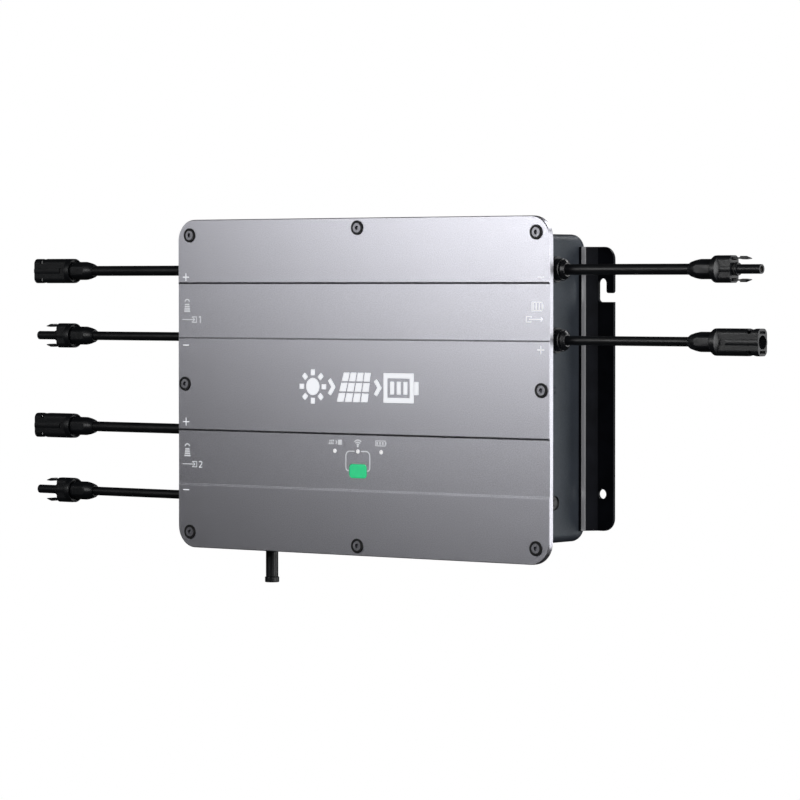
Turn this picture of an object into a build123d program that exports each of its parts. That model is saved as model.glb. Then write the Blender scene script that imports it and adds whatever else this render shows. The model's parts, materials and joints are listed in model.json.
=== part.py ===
from build123d import *
import os

# Wall-mounted solar power hub: a sealed aluminium box on two side brackets, with six plug-ended leads.
# Millimetres. X is to the right, Y goes back to the wall, Z is up. The wall plane is Y = 0, and the
# origin is midway between the two lower fixing holes.

# ---- Driving dimensions ----
DEPTH = 64.0                       # cover face to wall plane
MID_Z = 75.0                       # height of the cover's centre over the lower fixing holes
FIXING_X = 174.0                   # lower holes and hook slots, each side of the centre
HOOK_RISE = 75.4                   # hook seat above the cover's centre
FIXING_R = 3.5

COVER_W, COVER_H, COVER_T = 344.0, 246.0, 4.3
COVER_CORNER_R = 16.0
COVER_CHAMFER = 0.5
BAND_EDGES = (-75.5, -34.5, 34.5, 75.5)     # where the cover steps between proud and recessed bands
BAND_DEPTH = 0.6
BEVEL = 1.4

BOX_W = 322.8
BOX_LOW, BOX_HIGH = -108.9, 110.1  # the box's underside and top, from the cover's centre
WALL = 3.0
BACK_WALL = 4.0
BOX_REAR_R, BOX_EDGE_R = 11.5, 6.5
RIM_W, RIM_H, RIM_T, RIM_CORNER_R = 335.6, 238.0, 3.0, 14.0
GASKET_T = 0.8

SCREW_PLACES = [(x, z) for x in (-160.4, 160.4) for z in (-111.3, 111.3)]
SCREW_PLACES += [(0, -115.7), (0, 115.7), (-165.0, 0), (165.0, 0)]
SCREW_R, SCREW_HEAD_R, SCREW_HEAD_T, SCREW_L = 2.0, 3.5, 2.8, 9.0
BUSH_R, BUSH_HUB_R, BUSH_PROUD = 5.3, 4.3, 1.0
BOSS_R, BOSS_L = 3.6, 7.5
HEX_ACROSS, HEX_DEEP = 3.0, 1.8
RIB_PROUD, RIB_W, RIB_PITCH, RIBS, RIB_HALF_H = 1.9, 2.4, 12.0, 21, 88.0

BRACKET_T, BRACKET_H = 2.5, 202.6
BRACKET_IN, BRACKET_OUT = 138.0, 183.7
LIP_T, LIP_DEPTH, LIP_SIDE, BEVEL_RUN = 2.5, 11.2, 3.9, 6.3
BRACKET_CORNER_R = 9.0
HOOK_W, HOOK_FLOOR, TONGUE_END = 7.0, 62.0, 68.3
HOOK_FLOOR_R, TONGUE_R = 2.5, 1.8
BRACKET_SCREW_Z = (-70.0, 0.0, 70.0)
BRACKET_SCREW_X = 148.0
BRACKET_SCREW_R, COUNTERSINK_R, COUNTERSINK_DEEP = 1.9, 4.1, 2.3

THIN, THICK = 3.35, 3.85           # the two lead sheaths, as radii
LEAD_BACK = 20.0                   # lead axis behind the cover face
LEAD_FREE = {-1: 100.6, 1: 103.6}   # gland mouth to plug, on the left and on the right
LEADS = {"lead_pv1_positive": (-1, 85.0, THICK), "lead_pv1_negative": (-1, 35.0, THIN),
         "lead_pv2_positive": (-1, -35.0, THICK), "lead_pv2_negative": (-1, -85.0, THIN),
         "lead_output_negative": (1, 85.0, THICK), "lead_output_positive": (1, 35.0, THIN)}
PROBE_LEADS = ("lead_pv1_negative", "lead_pv2_negative", "lead_output_negative")
GLAND_OUT = 12.0                   # how far a gland stands out of the side wall
GLAND_FLANGE_R, GLAND_FLANGE_T = 9.2, 3.5
GLAND_STEM_R, GLAND_NUT_R, GLAND_NOSE_R, GLAND_TAPER = 6.0, 7.9, 7.1, 2.1
GLAND_SPIGOT_R, GLAND_BORE_R, SEAL_L = 5.4, 4.75, 4.5
LOCKNUT_ACROSS, LOCKNUT_T = 17.0, 3.0

# Plugs, along their own axis from the rear of the cap nut
CAP_L, CAP_R, CAP_CONE, CAP_NOSE_R = 20.5, 7.0, 7.8, 4.4
GRIP_FROM, GRIP_TO, GRIP_AT = 7.0, 19.5, 6.55
COLLAR_R, COLLAR_L, COLLAR_DEEP, COLLAR_LIP = 9.4, 6.5, 2.5, 1.0
CORE_R, WING_H, WING_D, WING_R = 6.0, 18.9, 11.2, 4.0
PROBE_BODY_END, NECK_END, PROBE_L = 35.7, 39.5, 58.1
NECK_R, TUBE_R, TUBE_BORE_R, TUBE_MOUTH_R = 4.4, 3.3, 2.65, 2.05
O_RING_R, O_RING_WIRE, O_RING_GROOVE = 4.3, 0.45, 0.8
SHELL_L, SHELL_BORE_R, SHELL_BORE_FROM = 58.8, 4.8, 30.5
PIN_R, PIN_TIP, SOCKET_WALL, CRIMP_L = 1.95, 50.0, 0.6, 7.5
WAIST_FROM, WAIST_L, WAIST_CUT, WAIST_SLOPE = 47.7, 7.6, 1.4, 3.0
POCKET_FROM, POCKET_HALF, POCKET_LOW, POCKET_HIGH = 43.5, 3.4, 5.8, 7.7
WINDOW_FROM, WINDOW_TO = 49.6, 52.6
DIMPLE_AT, DIMPLE_R, DIMPLE_DEEP = 30.0, 2.6, 0.7
LATCH_OFF, LATCH_T, LATCH_W, LATCH_PIVOT, LATCH_REACH = 7.5, 1.1, 6.0, 31.5, 48.4
BARB_FROM, BARB_H = 42.0, 0.9
LATCH_PIN_R, LATCH_POCKET = 0.9, 1.25

BUTTON_W, BUTTON_H, BUTTON_R, BUTTON_LOW = 16.0, 10.0, 2.5, -61.4
BUTTON_TRAVEL, BUTTON_GAP = 1.2, 0.2
LIGHT_R, LIGHT_PITCH, LIGHT_LOW = 1.5, 21.5, -47.0

ANTENNA_X, ANTENNA_BACK, ANTENNA_R, ANTENNA_DROP = -107.0, 32.0, 4.65, 39.8
ANTENNA_TIP_R, ANTENNA_TIP_L = 5.35, 4.2
ANTENNA_STUD_R = 3.15
VENT_BACK, VENT_LOW, VENT_R, VENT_STEM_R, VENT_HEAD = 19.4, -80.0, 5.25, 4.05, 1.6

BOARD_W, BOARD_H, BOARD_T, BOARD_Y = 276.0, 190.0, 1.6, -19.0
STANDOFF_R, STANDOFF_BORE, STANDOFF_SPIGOT_R, STANDOFF_SPIGOT_L = 3.5, 1.6, 1.95, 2.5

# ---- Planes worked out from them ----
FACE_Y = -DEPTH
RECESS_Y = FACE_Y + BAND_DEPTH
COVER_BACK_Y = FACE_Y + COVER_T
RIM_Y = COVER_BACK_Y + GASKET_T
BOX_BACK_Y = -BRACKET_T
SIDE_X = BOX_W / 2
BOX_H = BOX_HIGH - BOX_LOW
BOX_MID = MID_Z + (BOX_HIGH + BOX_LOW) / 2
BOX_FLOOR, BOX_TOP = MID_Z + BOX_LOW, MID_Z + BOX_HIGH
LEAD_Y = FACE_Y + LEAD_BACK
MOUTH_X = SIDE_X + GLAND_OUT
O_RING_X = PROBE_BODY_END + 2.0
VENT_Y = FACE_Y + VENT_BACK
ANTENNA_Y = FACE_Y + ANTENNA_BACK
INNER_BACK = BOX_BACK_Y - BACK_WALL
CLEAR = 0.05
OVER = 1.0                         # how far a cutter runs past what it cuts


# ---- Small shape helpers ----
def block(x0, x1, y0, y1, z0, z1):
    middle = Pos((x0 + x1) / 2, (y0 + y1) / 2, (z0 + z1) / 2)
    return middle * Box(abs(x1 - x0), abs(y1 - y0), abs(z1 - z0))


def rod(axis, r, start, length):
    """A cylinder that starts at a point and runs along X, Y or Z; a negative length runs the other way."""
    turn = {"X": Rot(0, 90, 0), "Y": Rot(-90, 0, 0), "Z": Rot(0, 0, 0)}[axis]
    solid = turn * Cylinder(r, abs(length))
    shift = {"X": (length / 2, 0, 0), "Y": (0, length / 2, 0), "Z": (0, 0, length / 2)}[axis]
    return Pos(*start) * Pos(*shift) * solid


def ring(axis, r_out, r_in, start, length):
    return rod(axis, r_out, start, length) - rod(axis, r_in, start, length)


def rounded_slab(w, h, r, y0, y1, x=0.0, z=MID_Z):
    """A rounded rectangle in the XZ plane, from y0 back to y1."""
    flat = Plane.XZ.offset(-y1) * RectangleRounded(w, h, r)
    return Pos(x, 0, z) * extrude(flat, y1 - y0)


def turned(points, side=1):
    """A solid of revolution about the X axis from (x, r) points; side -1 mirrors it to the left."""
    loop = [(x, 0, r) for x, r in points]
    flat = make_face(Polyline(*loop, close=True))
    solid = revolve(flat, Axis.X)
    return solid if side > 0 else mirror(solid, Plane.YZ)


def group(solids):
    """Separate solids that share one node."""
    return Compound(children=[solid for item in solids for solid in item.solids()])


# ---- Front cover, its gasket and fasteners ----
def band_cutter(low, high):
    """Removes one recessed band: full depth between low and high, with a bevel outside each edge."""
    run = BEVEL * (1 + OVER / BAND_DEPTH)
    side = [(FACE_Y - OVER, low - run), (RECESS_Y, low), (RECESS_Y, high), (FACE_Y - OVER, high + run)]
    loop = [(-COVER_W, y, MID_Z + z) for y, z in side]
    return extrude(make_face(Polyline(*loop, close=True)), 2 * COVER_W, dir=(1, 0, 0))


def front_cover():
    plate = rounded_slab(COVER_W, COVER_H, COVER_CORNER_R, FACE_Y, COVER_BACK_Y)
    plate = chamfer(plate.faces().sort_by(Axis.Y)[0].edges(), COVER_CHAMFER)
    half = BEVEL / 2
    through = COVER_T + 2 * OVER
    for low, high in (BAND_EDGES[:2], BAND_EDGES[2:]):
        plate -= band_cutter(low + half, high - half)
    for x, z in SCREW_PLACES:
        plate -= rod("Y", BUSH_HUB_R + CLEAR, (x, FACE_Y - OVER, MID_Z + z), through)
    plate -= rounded_slab(BUTTON_W + 2 * BUTTON_GAP, BUTTON_H + 2 * BUTTON_GAP, BUTTON_R + BUTTON_GAP,
                          FACE_Y - OVER, COVER_BACK_Y + OVER, z=MID_Z + BUTTON_LOW)
    for k in (-1, 0, 1):
        plate -= rod("Y", LIGHT_R + CLEAR, (k * LIGHT_PITCH, FACE_Y - OVER, MID_Z + LIGHT_LOW), through)
    return plate


def cover_gasket():
    seal = rounded_slab(RIM_W - 2, RIM_H - 2, RIM_CORNER_R - 1, COVER_BACK_Y, RIM_Y)
    seal -= rounded_slab(BOX_W - 2 * WALL, BOX_H - 2 * WALL, BOX_EDGE_R, COVER_BACK_Y - OVER, RIM_Y + OVER,
                         z=BOX_MID)
    for x, z in SCREW_PLACES:
        seal -= rod("Y", SCREW_R + 0.4, (x, COVER_BACK_Y - OVER, MID_Z + z), GASKET_T + 2 * OVER)
    return seal


def screw_bush(x, z):
    """A stepped plastic cup: a flange on the cover's face, a hub in its hole, and a seat for the screw."""
    top = FACE_Y - BUSH_PROUD
    cup = rod("Y", BUSH_R, (x, top, z), BUSH_PROUD)
    cup += rod("Y", BUSH_HUB_R, (x, top, z), BUSH_PROUD + COVER_T)
    cup -= rod("Y", SCREW_HEAD_R + 0.1, (x, top - OVER, z), OVER + 0.2 + SCREW_HEAD_T)
    return cup - rod("Y", SCREW_R + 0.1, (x, top, z), BUSH_PROUD + COVER_T + OVER)


def hex_screw(x, z):
    top = FACE_Y - BUSH_PROUD + 0.2
    screw = rod("Y", SCREW_HEAD_R, (x, top, z), SCREW_HEAD_T)
    screw += rod("Y", SCREW_R, (x, top, z), SCREW_HEAD_T + SCREW_L)
    socket = Plane.XZ.offset(-top - HEX_DEEP) * RegularPolygon(HEX_ACROSS / 2, 6, major_radius=False)
    return screw - Pos(x, 0, z) * extrude(socket, HEX_DEEP + OVER)


# ---- Rear housing ----
def box_blank(inset, front, back, rear_r, edge_r):
    """A block of the box's outline, inset all round, with rounded rear and side edges."""
    blank = block(-SIDE_X + inset, SIDE_X - inset, front, back, BOX_FLOOR + inset, BOX_TOP - inset)
    blank = fillet(blank.faces().sort_by(Axis.Y)[-1].edges().filter_by(Axis.X), rear_r)
    return fillet(blank.edges().filter_by(Axis.Y), edge_r) if edge_r else blank


def cover_boss(x, z):
    """A screw boss behind the rim; one that lies beyond the box's side is tied back to it."""
    boss = rod("Y", BOSS_R, (x, RIM_Y, MID_Z + z), BOSS_L)
    tie = 6.0
    if abs(x) > SIDE_X:
        inward = x - tie * (1 if x > 0 else -1)
        boss += block(x, inward, RIM_Y, RIM_Y + BOSS_L, MID_Z + z - BOSS_R, MID_Z + z + BOSS_R)
    elif abs(z) > BOX_HIGH + 2:
        inward = MID_Z + z - tie * (1 if z > 0 else -1)
        boss += block(x - BOSS_R, x + BOSS_R, RIM_Y, RIM_Y + BOSS_L, MID_Z + z, inward)
    return boss


def rear_housing():
    shell = box_blank(0, RIM_Y, BOX_BACK_Y, BOX_REAR_R, BOX_EDGE_R)
    shell += rounded_slab(RIM_W, RIM_H, RIM_CORNER_R, RIM_Y, RIM_Y + RIM_T)
    for x, z in SCREW_PLACES:
        shell += cover_boss(x, z)
    shell -= box_blank(WALL, RIM_Y - OVER, BOX_BACK_Y - BACK_WALL, BOX_REAR_R - WALL, 0)
    for x, z in SCREW_PLACES:
        shell -= rod("Y", SCREW_R + CLEAR, (x, RIM_Y - OVER, MID_Z + z), SCREW_L - 2 + OVER)
    through = WALL + 2 * OVER
    for side, z, _ in LEADS.values():
        start = (side * (SIDE_X - WALL - OVER), LEAD_Y, MID_Z + z)
        shell -= rod("X", GLAND_STEM_R + CLEAR, start, side * through)
    shell -= rod("X", VENT_STEM_R + CLEAR, (SIDE_X - WALL - OVER, VENT_Y, MID_Z + VENT_LOW), through)
    shell -= rod("Z", ANTENNA_STUD_R + CLEAR, (ANTENNA_X, ANTENNA_Y, BOX_FLOOR - OVER), through)
    for x, z in STANDOFF_PLACES:
        start = (x, INNER_BACK - OVER, z)
        shell -= rod("Y", STANDOFF_SPIGOT_R + CLEAR, start, STANDOFF_SPIGOT_L + 0.5 + OVER)
    for side in (-1, 1):
        for z in BRACKET_SCREW_Z:
            start = (side * BRACKET_SCREW_X, BOX_BACK_Y + OVER, MID_Z + z)
            shell -= rod("Y", BRACKET_SCREW_R + CLEAR, start, -(BACK_WALL - 0.8 + OVER))
    for k in range(RIBS):
        x = (k - (RIBS - 1) / 2) * RIB_PITCH
        shell += block(x - RIB_W / 2, x + RIB_W / 2, BOX_BACK_Y - 0.5, BOX_BACK_Y + RIB_PROUD,
                       MID_Z - RIB_HALF_H, MID_Z + RIB_HALF_H)
    return shell


# ---- Wall brackets ----
def edges_at(shape, x=None, y=None, z=None, beyond=0.0):
    """Edges whose centre has the given coordinates and lies beyond a distance from the middle."""
    found = []
    for edge in shape.edges():
        centre = edge.center()
        pairs = zip((centre.X, centre.Y, centre.Z), (x, y, z))
        misses = [abs(a - b) > 0.01 for a, b in pairs if b is not None]
        if not any(misses) and centre.X > beyond:
            found.append(edge)
    return found


def bracket_outline():
    """The bracket's section, seen from above, for the right-hand side."""
    front = -BRACKET_T
    lip_out, lip_front = SIDE_X + LIP_T, front - LIP_DEPTH
    return [(BRACKET_IN, 0), (BRACKET_IN, front), (SIDE_X, front), (SIDE_X, lip_front),
            (lip_out, lip_front), (lip_out, lip_front + LIP_SIDE), (lip_out + BEVEL_RUN, front),
            (BRACKET_OUT, front), (BRACKET_OUT, 0)]


def bracket(side):
    """A plate behind the box with a bevelled lip beside it, a hook slot and a round hole."""
    flat = make_face(Polyline(*[(x, y, 0) for x, y in bracket_outline()], close=True))
    plate = Pos(0, 0, MID_Z - BRACKET_H / 2) * extrude(flat, BRACKET_H, dir=(0, 0, 1))
    plate = fillet(edges_at(plate, x=BRACKET_OUT, y=-BRACKET_T / 2), BRACKET_CORNER_R)
    through = -(BRACKET_T + 2 * OVER)
    plate -= rod("Y", FIXING_R, (FIXING_X, OVER, 0), through)
    seat_z, floor_z, tongue_z = MID_Z + HOOK_RISE, MID_Z + HOOK_FLOOR, MID_Z + TONGUE_END
    half = HOOK_W / 2
    slot = rod("Y", half, (FIXING_X, OVER, seat_z), through)
    slot += block(FIXING_X - half, FIXING_X + half, OVER, OVER + through, floor_z, seat_z)
    mouth = block(FIXING_X, BRACKET_OUT + OVER, OVER, OVER + through, floor_z, tongue_z)
    plate -= slot + mouth
    middle_y = -BRACKET_T / 2
    plate = fillet(edges_at(plate, y=middle_y, z=tongue_z, beyond=FIXING_X), TONGUE_R)
    plate = fillet(edges_at(plate, x=FIXING_X - half, y=middle_y, z=floor_z), HOOK_FLOOR_R)
    for z in BRACKET_SCREW_Z:
        place = Pos(BRACKET_SCREW_X, -COUNTERSINK_DEEP / 2, MID_Z + z) * Rot(-90, 0, 0)
        plate -= place * Cone(BRACKET_SCREW_R + 0.15, COUNTERSINK_R, COUNTERSINK_DEEP)
        plate -= rod("Y", BRACKET_SCREW_R + 0.15, (BRACKET_SCREW_X, OVER, MID_Z + z), through)
    return plate if side > 0 else mirror(plate, Plane.YZ)


def bracket_screw(x, z):
    """Countersunk, with its head flush in the bracket's back face."""
    height = COUNTERSINK_DEEP - 0.1
    cone = Cone(BRACKET_SCREW_R, COUNTERSINK_R - 0.1, height)
    head = Pos(x, -COUNTERSINK_DEEP / 2, z) * Rot(-90, 0, 0) * cone
    return head + rod("Y", BRACKET_SCREW_R, (x, -1.0, z), -4.6)


# ---- Cable glands ----
def at_side(side, z):
    return Pos(side * SIDE_X, LEAD_Y, MID_Z + z)


def gland_body(side, z, r):
    """A flange on the wall, a stem through it, and a short spigot that holds the seal."""
    flange = ring("X", GLAND_FLANGE_R, GLAND_BORE_R, (0, 0, 0), side * GLAND_FLANGE_T)
    stem_l = GLAND_FLANGE_T + WALL + LOCKNUT_T + 4.0
    stem = ring("X", GLAND_STEM_R, r + 0.5, (side * GLAND_FLANGE_T, 0, 0), -side * stem_l)
    spigot = ring("X", GLAND_SPIGOT_R, GLAND_BORE_R, (side * (GLAND_FLANGE_T - 0.5), 0, 0), side * 5.0)
    return at_side(side, z) * (flange + stem + spigot)


def gland_nut(side, z, r):
    """A cap nut in two steps with a groove between them; the narrower one tapers to the lead."""
    reach = GLAND_OUT - GLAND_FLANGE_T
    bore = GLAND_SPIGOT_R + CLEAR
    step, groove_w, groove_r = 4.9, 0.6, 6.4
    profile = [(0, bore), (0, GLAND_NUT_R), (step - 0.5, GLAND_NUT_R), (step, GLAND_NUT_R - 0.5),
               (step, groove_r), (step + groove_w, groove_r), (step + groove_w, GLAND_NOSE_R),
               (reach - GLAND_TAPER, GLAND_NOSE_R), (reach, r + 1.2), (reach, r + CLEAR),
               (reach - 2.6, r + CLEAR), (reach - 3.6, bore)]
    return at_side(side, z) * Pos(side * GLAND_FLANGE_T, 0, 0) * turned(profile, side)


def gland_seal(side, z, r):
    seal = ring("X", GLAND_BORE_R - CLEAR, r + CLEAR, (side * GLAND_FLANGE_T, 0, 0), side * SEAL_L)
    return at_side(side, z) * seal


def gland_locknut(side, z):
    hexagon = Plane.YZ * RegularPolygon(LOCKNUT_ACROSS / 2, 6, major_radius=False)
    nut = extrude(hexagon, LOCKNUT_T)
    nut -= rod("X", GLAND_STEM_R + CLEAR, (-OVER, 0, 0), LOCKNUT_T + 2 * OVER)
    inner = -WALL - LOCKNUT_T if side > 0 else WALL
    return at_side(side, z) * Pos(inner, 0, 0) * nut


def inner_lead(side, z, r):
    """The lead's own sheath, from the gland's mouth in to its terminal."""
    return rod("X", r, (side * MOUTH_X, LEAD_Y, MID_Z + z), -side * (MOUTH_X - TERMINAL_X - 1.0))


# ---- Leads and their plugs ----
def at_plug(side, z, shape):
    """Puts a shape built along +X from a plug's rear at its place on the left or the right."""
    turned_shape = shape if side > 0 else mirror(shape, Plane.YZ)
    return Pos(side * (MOUTH_X + LEAD_FREE[side]), LEAD_Y, MID_Z + z) * turned_shape


def plug_cap(side, z, r):
    """The plug's rear nut: a nose that tightens on the sheath, with six grip flats in front of it."""
    rise = CAP_R - CAP_NOSE_R
    profile = [(0, r + CLEAR), (0, CAP_NOSE_R), (0.16 * CAP_CONE, CAP_NOSE_R + 0.3 * rise),
               (0.6 * CAP_CONE, CAP_NOSE_R + 0.7 * rise), (CAP_CONE, CAP_R - 0.06 * rise),
               (CAP_CONE + 1.2, CAP_R), (CAP_L + COLLAR_DEEP, CAP_R), (CAP_L + COLLAR_DEEP, r + CLEAR)]
    cap = turned(profile)
    for k in range(6):
        flat = block(GRIP_FROM, GRIP_TO, -CAP_R, CAP_R, GRIP_AT, CAP_R + OVER)
        cap -= Rot(60 * k + 30, 0, 0) * flat
    return at_plug(side, z, cap)


def plug_body(front):
    """A flat body round a cylindrical core; a hollow round collar at its rear takes in the cap nut."""
    mouth_r = COLLAR_R - COLLAR_LIP
    floor, end = CAP_L + COLLAR_DEEP, CAP_L + COLLAR_L
    collar = turned([(CAP_L, mouth_r), (CAP_L, COLLAR_R - 0.5), (CAP_L + 0.7, COLLAR_R),
                     (end - 2.0, COLLAR_R), (end, WING_D / 2), (end, 0), (floor, 0), (floor, mouth_r)])
    wings = extrude(Plane.YZ.offset(floor) * RectangleRounded(WING_D, WING_H, WING_R), front - floor)
    return collar + wings + rod("X", CORE_R, (floor, 0, 0), front - floor)


def shell_plug(side, z, r):
    """A pin plug: a long sleeve round the pin, with two pockets that catch the mating latches."""
    body = plug_body(SHELL_L)
    top = WING_H / 2
    for s in (-1, 1):
        waist = [(WAIST_FROM, top + OVER), (WAIST_FROM, top), (WAIST_FROM + WAIST_SLOPE, top - WAIST_CUT),
                 (WAIST_FROM + WAIST_L - WAIST_SLOPE, top - WAIST_CUT), (WAIST_FROM + WAIST_L, top),
                 (WAIST_FROM + WAIST_L, top + OVER)]
        flat = make_face(Polyline(*[(x, 0, s * h) for x, h in waist], close=True))
        body -= extrude(flat, WING_D, dir=(0, 1, 0), both=True)
        low, high = s * POCKET_LOW, s * POCKET_HIGH
        body -= block(POCKET_FROM, SHELL_L + OVER, -POCKET_HALF, POCKET_HALF, low, high)
        body -= block(WINDOW_FROM, WINDOW_TO, -WING_D, WING_D, low, high)
        body -= rod("Y", DIMPLE_R, (DIMPLE_AT, s * (CORE_R - DIMPLE_DEEP), 0), s * (DIMPLE_DEEP + OVER))
    body -= rod("X", SHELL_BORE_R, (SHELL_BORE_FROM, 0, 0), SHELL_L - SHELL_BORE_FROM + OVER)
    body -= rod("X", r + CLEAR, (CAP_L - OVER, 0, 0), SHELL_L)
    return at_plug(side, z, body)


def probe_plug(side, z, r):
    """A socket plug: a short block with two latch pockets, a sealing neck and a long tube."""
    front = PROBE_BODY_END
    body = plug_body(front)
    body += rod("X", NECK_R, (front, 0, 0), NECK_END - front)
    body += rod("X", TUBE_R, (front, 0, 0), PROBE_L - front)
    body -= ring("X", NECK_R + OVER, NECK_R - O_RING_GROOVE, (O_RING_X - O_RING_WIRE - CLEAR, 0, 0),
                 2 * (O_RING_WIRE + CLEAR))
    body -= rod("X", r + CLEAR, (CAP_L - OVER, 0, 0), front - CAP_L - 1.0 + OVER)
    body -= rod("X", TUBE_BORE_R, (CAP_L, 0, 0), PROBE_L - CAP_L - 1.0)
    body -= rod("X", TUBE_MOUTH_R, (CAP_L, 0, 0), PROBE_L)
    half_w = LATCH_W / 2 + CLEAR
    for s in (-1, 1):
        body -= rod("Y", LATCH_PIN_R + CLEAR, (LATCH_PIVOT, -half_w, s * LATCH_OFF), 2 * half_w)
        body -= block(LATCH_PIVOT, front + OVER, -half_w, half_w,
                      s * (LATCH_OFF - LATCH_POCKET), s * (LATCH_OFF + LATCH_T / 2 + 0.15))
    return at_plug(side, z, body)


def latch(side, z, up):
    """One sprung arm of a socket plug, with its pivot bead and barb; up is 1 above the tube, -1 below."""
    low, high = LATCH_OFF - LATCH_T / 2, LATCH_OFF + LATCH_T / 2
    barb = [(LATCH_PIVOT, low), (LATCH_PIVOT, high), (BARB_FROM, high), (BARB_FROM + 0.4, high + BARB_H),
            (BARB_FROM + 2.0, high + BARB_H), (LATCH_REACH, low + 0.5), (LATCH_REACH, low),
            (BARB_FROM + 2.5, low - 0.4), (BARB_FROM, low)]
    flat = make_face(Polyline(*[(x, 0, up * h) for x, h in barb], close=True))
    arm = extrude(flat, LATCH_W / 2, dir=(0, 1, 0), both=True)
    arm += rod("Y", LATCH_PIN_R, (LATCH_PIVOT, -LATCH_W / 2, up * LATCH_OFF), LATCH_W)
    return at_plug(side, z, arm)


def plug_seal(side, z):
    """The O-ring in a socket plug's neck."""
    return at_plug(side, z, Pos(O_RING_X, 0, 0) * Rot(0, 90, 0) * Torus(O_RING_R, O_RING_WIRE))


def contact(side, z, r, is_probe):
    """The crimped metal contact: a socket in a probe plug, a pin in a shell plug."""
    if is_probe:
        rear, front = PROBE_BODY_END - 1.0, PROBE_L - 1.1
        metal = rod("X", TUBE_BORE_R - CLEAR, (rear, 0, 0), front - rear)
        metal -= rod("X", TUBE_BORE_R - SOCKET_WALL, (PROBE_L, 0, 0), -18.0)
    else:
        rear = CAP_L + 2.0
        metal = rod("X", r, (rear, 0, 0), CRIMP_L) + rod("X", PIN_R, (rear, 0, 0), PIN_TIP - rear)
        metal = fillet(metal.faces().sort_by(Axis.X)[-1].edges(), 0.8)
    return at_plug(side, z, metal)


# ---- Button, lights and their board ----
LIGHT_Z, BUTTON_Z = MID_Z + LIGHT_LOW, MID_Z + BUTTON_LOW
PANEL_Y = -52.4                    # front face of the small board behind the button
PANEL_T = 1.2
PANEL_POST_X, PANEL_POST_Z = 26.0, MID_Z - 68.0
SWITCH_TOP = PANEL_Y - 3.4
FLANGE_BACK = COVER_BACK_Y + 1.2   # rear of the button's flange inside the cover
PLUNGER_R = 1.7


def button_cap():
    cap = rounded_slab(BUTTON_W, BUTTON_H, BUTTON_R, RECESS_Y - 0.1, COVER_BACK_Y + 0.4, z=BUTTON_Z)
    cap = chamfer(cap.faces().sort_by(Axis.Y)[0].edges(), 0.35)
    cap += rounded_slab(BUTTON_W + 3, BUTTON_H + 3, BUTTON_R + 1, COVER_BACK_Y + CLEAR, FLANGE_BACK,
                        z=BUTTON_Z)
    return cap


def switch_plunger():
    return rod("Y", PLUNGER_R, (0, FLANGE_BACK, BUTTON_Z), SWITCH_TOP + 0.6 - FLANGE_BACK)


def button_switch():
    body = block(-4, 4, SWITCH_TOP, PANEL_Y, BUTTON_Z - 4, BUTTON_Z + 4)
    return body - rod("Y", PLUNGER_R + CLEAR, (0, SWITCH_TOP - OVER, BUTTON_Z), OVER + 2 * BUTTON_TRAVEL)


def indicator_board():
    board = block(-30, 30, PANEL_Y, PANEL_Y + PANEL_T, MID_Z - 72, MID_Z - 36)
    for x in (-PANEL_POST_X, PANEL_POST_X):
        board -= rod("Y", 1.3, (x, PANEL_Y - OVER, PANEL_POST_Z), PANEL_T + 2 * OVER)
    return board


def light_guide(k):
    front = RECESS_Y - 0.25
    pipe = rod("Y", LIGHT_R, (k * LIGHT_PITCH, front, LIGHT_Z), PANEL_Y - 1.1 - front)
    pipe = fillet(pipe.faces().sort_by(Axis.Y)[0].edges(), 0.3)
    return pipe + rod("Y", LIGHT_R + 0.8, (k * LIGHT_PITCH, COVER_BACK_Y, LIGHT_Z), 1.2)


def status_led(k):
    x = k * LIGHT_PITCH
    return block(x - 1.4, x + 1.4, PANEL_Y - 1.0, PANEL_Y, LIGHT_Z - 1, LIGHT_Z + 1)


def panel_post(x):
    """A spacer between the cover's back and the small board, with its screw passing through."""
    return ring("Y", 2.6, 1.3, (x, COVER_BACK_Y, PANEL_POST_Z), PANEL_Y - COVER_BACK_Y)


def panel_screw(x):
    seat = (x, PANEL_Y + PANEL_T, PANEL_POST_Z)
    return rod("Y", 2.3, seat, 1.5) + rod("Y", 1.2, seat, -6.5)


# ---- Main board and what stands on it ----
BOARD_FRONT = BOARD_Y - BOARD_T
STANDOFF_PLACES = [(x, MID_Z + z) for x in (-133.0, 0.0, 133.0) for z in (-88.0, 88.0)]
CHOKE_PLACES = [(-78.0, 45.0), (-78.0, -45.0), (-20.0, 45.0), (-20.0, -45.0)]
CAPACITOR_PLACES = [(28.0 + 20 * i, z) for i in range(3) for z in (62.0, 40.0)]
TRANSISTOR_PLACES = [(-98.0 + 22 * k, -70.0) for k in range(8)]
RELAY_PLACES = [(92.0, 60.0), (92.0, 34.0)]
TERMINAL_X = 122.0


def main_board():
    half_w, half_h = BOARD_W / 2, BOARD_H / 2
    board = block(-half_w, half_w, BOARD_FRONT, BOARD_Y, MID_Z - half_h, MID_Z + half_h)
    for x, z in STANDOFF_PLACES:
        board -= rod("Y", 1.7, (x, BOARD_FRONT - OVER, z), BOARD_T + 2 * OVER)
    return board


def standoff(x, z):
    pillar = ring("Y", STANDOFF_R, STANDOFF_BORE, (x, BOARD_Y, z), INNER_BACK - BOARD_Y)
    return pillar + ring("Y", STANDOFF_SPIGOT_R, STANDOFF_BORE, (x, INNER_BACK, z), STANDOFF_SPIGOT_L)


def board_screw(x, z):
    return rod("Y", 3.0, (x, BOARD_FRONT - 2.0, z), 2.0) + rod("Y", 1.5, (x, BOARD_FRONT, z), 9.0)


def choke_core(x, z):
    return ring("Y", 17.0, 9.0, (x, BOARD_FRONT - 2.0, MID_Z + z), -14.0)


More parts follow.
